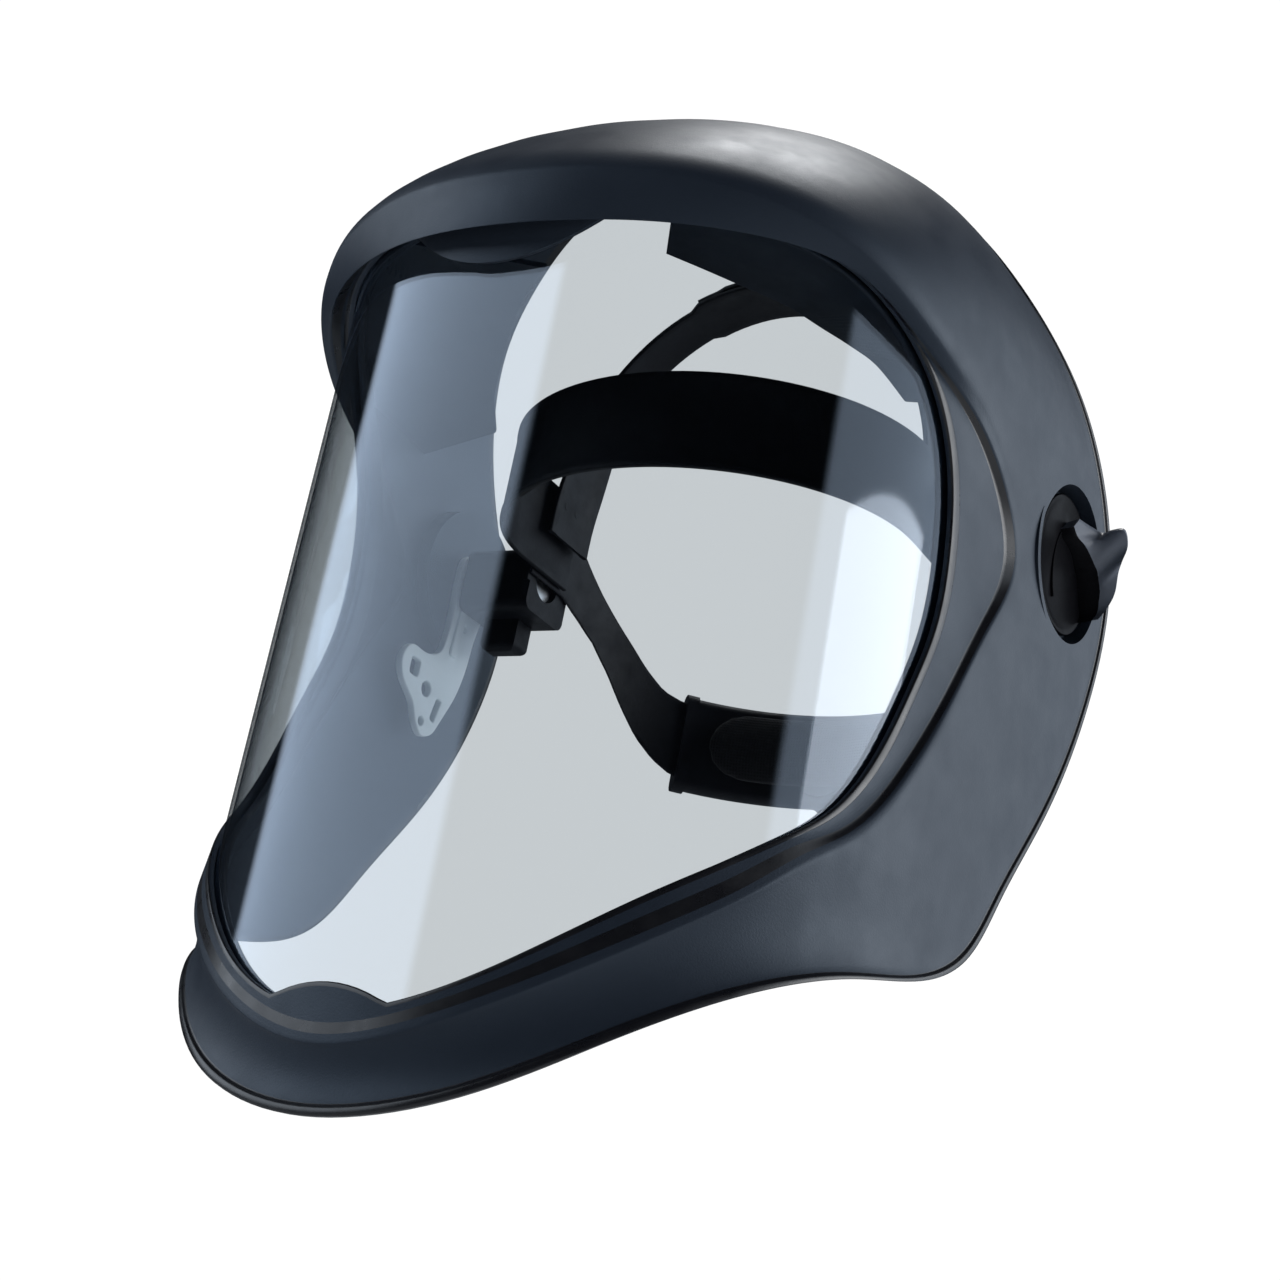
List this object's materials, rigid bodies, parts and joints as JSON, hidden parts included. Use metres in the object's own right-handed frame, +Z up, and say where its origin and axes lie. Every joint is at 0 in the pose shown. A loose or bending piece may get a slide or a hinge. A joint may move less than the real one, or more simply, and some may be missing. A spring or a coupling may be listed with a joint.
{
  "type": "face shield",
  "caption": "Flip-up face shield: a dark moulded shell round a clear wrap-around window, tilting on a ratchet headgear with a brow band, crown strap and nape strap.",
  "frame": {"origin": "on the tilt axis, midway between the two pivots", "axes": "+X to the wearer's left along the tilt axis, -Y forward out of the window, +Z up over the wearer's head"},
  "size_m": [0.298, 0.317, 0.391],
  "materials": {
    "shell_black": "fine matt moulded texture",
    "pane_clear": "clear polished polycarbonate",
    "nylon_white": "translucent natural nylon",
    "strap_black": "flexible moulded plastic",
    "pad_fabric": "brushed knit over foam",
    "knob_black": "semi-gloss moulded",
    "pinion_plastic": "natural acetal",
    "stud_steel": "zinc plated"
  },
  "bodies": {
    "headgear": {"headband": "strap_black", "brow_pad": "pad_fabric", "crown_strap_left": "strap_black", "crown_strap_right": "strap_black", "nape_strap_left": "strap_black", "nape_strap_right": "strap_black", "nape_housing_inner": "strap_black", "nape_housing_cover": "strap_black", "nape_pad": "pad_fabric", "strap_rivets": "strap_black", "side_bracket_left": "strap_black", "side_bracket_right": "strap_black", "pivot_stud_left": "stud_steel", "pivot_stud_right": "stud_steel", "inner_washer_left": "pinion_plastic", "inner_washer_right": "pinion_plastic"},
    "shield": {"shell": "shell_black", "window_pane": "pane_clear", "tilt_arm_left": "nylon_white", "tilt_arm_right": "nylon_white", "outer_washer_left": "pinion_plastic", "outer_washer_right": "pinion_plastic"},
    "knob_left": {"clamp_knob_left": "knob_black"},
    "knob_right": {"clamp_knob_right": "knob_black"},
    "ratchet": {"ratchet_pinion": "pinion_plastic", "ratchet_knob": "knob_black"}
  },
  "joints": [
    {"name": "shield_tilt", "type": "hinge", "parent": "headgear", "child": "shield", "pos_m": [0, 0, 0], "axis": [-1, 0, 0], "range_deg": [0, 80]},
    {"name": "knob_left_turn", "type": "hinge", "parent": "headgear", "child": "knob_left", "pos_m": [0.13, 0, 0], "axis": [1, 0, 0], "range_deg": [-180, 0]},
    {"name": "knob_right_turn", "type": "hinge", "parent": "headgear", "child": "knob_right", "pos_m": [-0.13, 0, 0], "axis": [-1, 0, 0], "range_deg": [-180, 0]},
    {"name": "ratchet_turn", "type": "hinge", "parent": "headgear", "child": "ratchet", "pos_m": [0, 0.1, -0.039], "axis": [0, 1, 0], "range_deg": [0, 720]}
  ]
}
